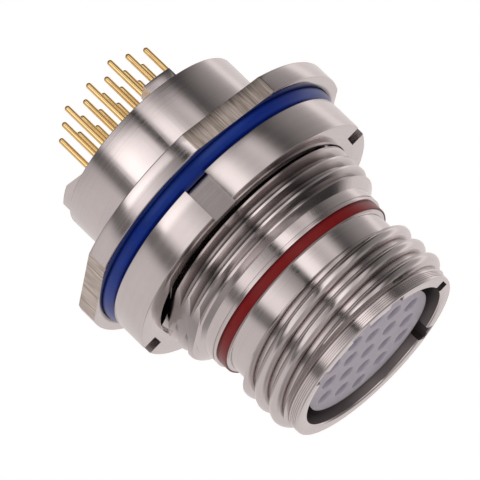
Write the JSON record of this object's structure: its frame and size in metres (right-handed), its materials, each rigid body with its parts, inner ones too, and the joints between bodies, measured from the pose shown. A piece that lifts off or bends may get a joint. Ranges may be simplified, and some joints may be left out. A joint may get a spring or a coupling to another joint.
{
  "type": "circular multi-pin panel receptacle connector",
  "caption": "Nickel-plated round panel receptacle with a flange, blue O-ring, slotted jam nut, coarse coupling thread, socket insert and straight gold solder tails.",
  "frame": {"origin": "centre of the flange face that meets the panel, on the mating axis", "axes": "+Z along the mating axis towards the mating end; the flange flats and board lugs face X and Y; the panel flat of the jam thread faces +Y"},
  "size_m": [0.0358, 0.0358, 0.0438],
  "materials": {
    "nickel_plate": "satin nickel plate",
    "blue_rubber": "smooth fluorosilicone",
    "red_enamel": "gloss enamel",
    "grey_insulator": "moulded",
    "dark_insulator": "moulded",
    "gold_plate": "gold plate",
    "spring_steel": "bright"
  },
  "bodies": {
    "shell": {"shell": "nickel_plate", "panel_o_ring": "blue_rubber", "indicator_band": "red_enamel", "front_insulator": "grey_insulator", "rear_insulator": "grey_insulator", "insert_retaining_ring": "spring_steel", "tail_wafer": "dark_insulator", "contact_01": "gold_plate", "contact_02": "gold_plate", "contact_03": "gold_plate", "contact_04": "gold_plate", "contact_05": "gold_plate", "contact_06": "gold_plate", "contact_07": "gold_plate", "contact_08": "gold_plate", "contact_09": "gold_plate", "contact_10": "gold_plate", "contact_11": "gold_plate", "contact_12": "gold_plate", "contact_13": "gold_plate", "contact_14": "gold_plate", "contact_15": "gold_plate", "contact_16": "gold_plate", "contact_17": "gold_plate", "contact_18": "gold_plate", "contact_19": "gold_plate", "socket_hood_01": "spring_steel", "socket_hood_02": "spring_steel", "socket_hood_03": "spring_steel", "socket_hood_04": "spring_steel", "socket_hood_05": "spring_steel", "socket_hood_06": "spring_steel", "socket_hood_07": "spring_steel", "socket_hood_08": "spring_steel", "socket_hood_09": "spring_steel", "socket_hood_10": "spring_steel", "socket_hood_11": "spring_steel", "socket_hood_12": "spring_steel", "socket_hood_13": "spring_steel", "socket_hood_14": "spring_steel", "socket_hood_15": "spring_steel", "socket_hood_16": "spring_steel", "socket_hood_17": "spring_steel", "socket_hood_18": "spring_steel", "socket_hood_19": "spring_steel"},
    "nut": {"jam_nut": "nickel_plate"}
  },
  "joints": [
    {"name": "nut_turn", "type": "hinge", "parent": "shell", "child": "nut", "pos_m": [0, 0, 0.004], "axis": [0, 0, 1], "continuous": true}
  ]
}
